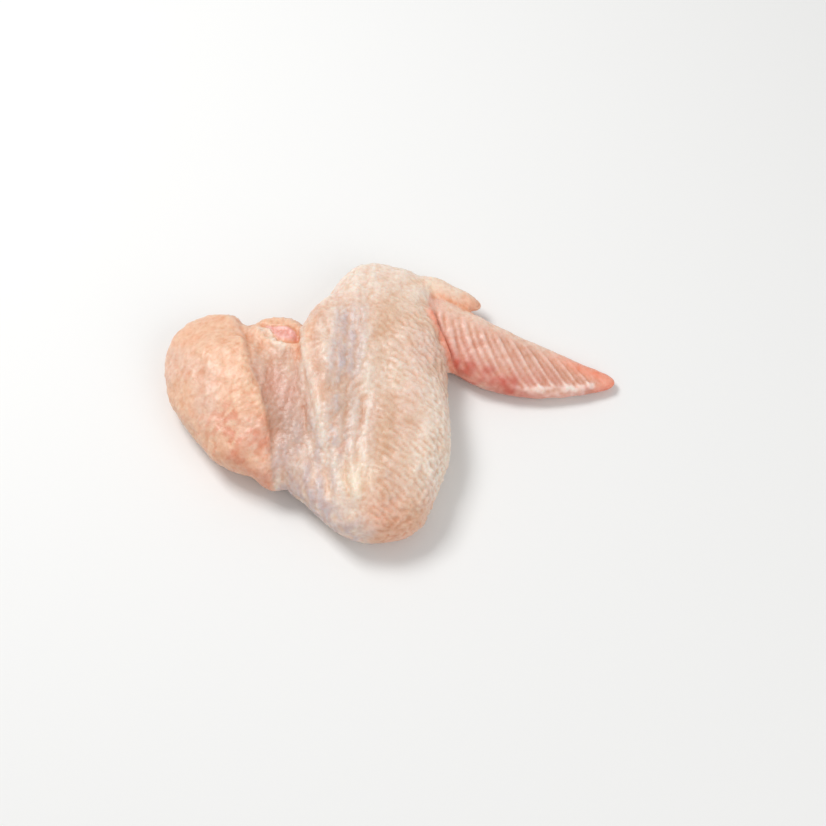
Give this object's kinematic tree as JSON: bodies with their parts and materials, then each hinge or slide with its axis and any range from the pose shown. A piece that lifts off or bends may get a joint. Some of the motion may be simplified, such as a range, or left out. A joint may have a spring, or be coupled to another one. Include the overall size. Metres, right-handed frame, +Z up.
{
  "type": "raw chicken wing",
  "caption": "Raw whole chicken wing with skin on, folded in a Z: thick upper arm with a skin flap, broad flat and ridged pointed tip.",
  "frame": {"origin": "centre of the wing's bounding box in plan, at the level it lies on", "axes": "+X from the shoulder flap towards the tip, +Y from the elbow towards the wrist, +Z up, out of the wing's outer side"},
  "size_m": [0.1562, 0.1058, 0.0263],
  "materials": {
    "raw_skin": "satin"
  },
  "bodies": {
    "root": {"wing": "raw_skin"}
  },
  "joints": []
}
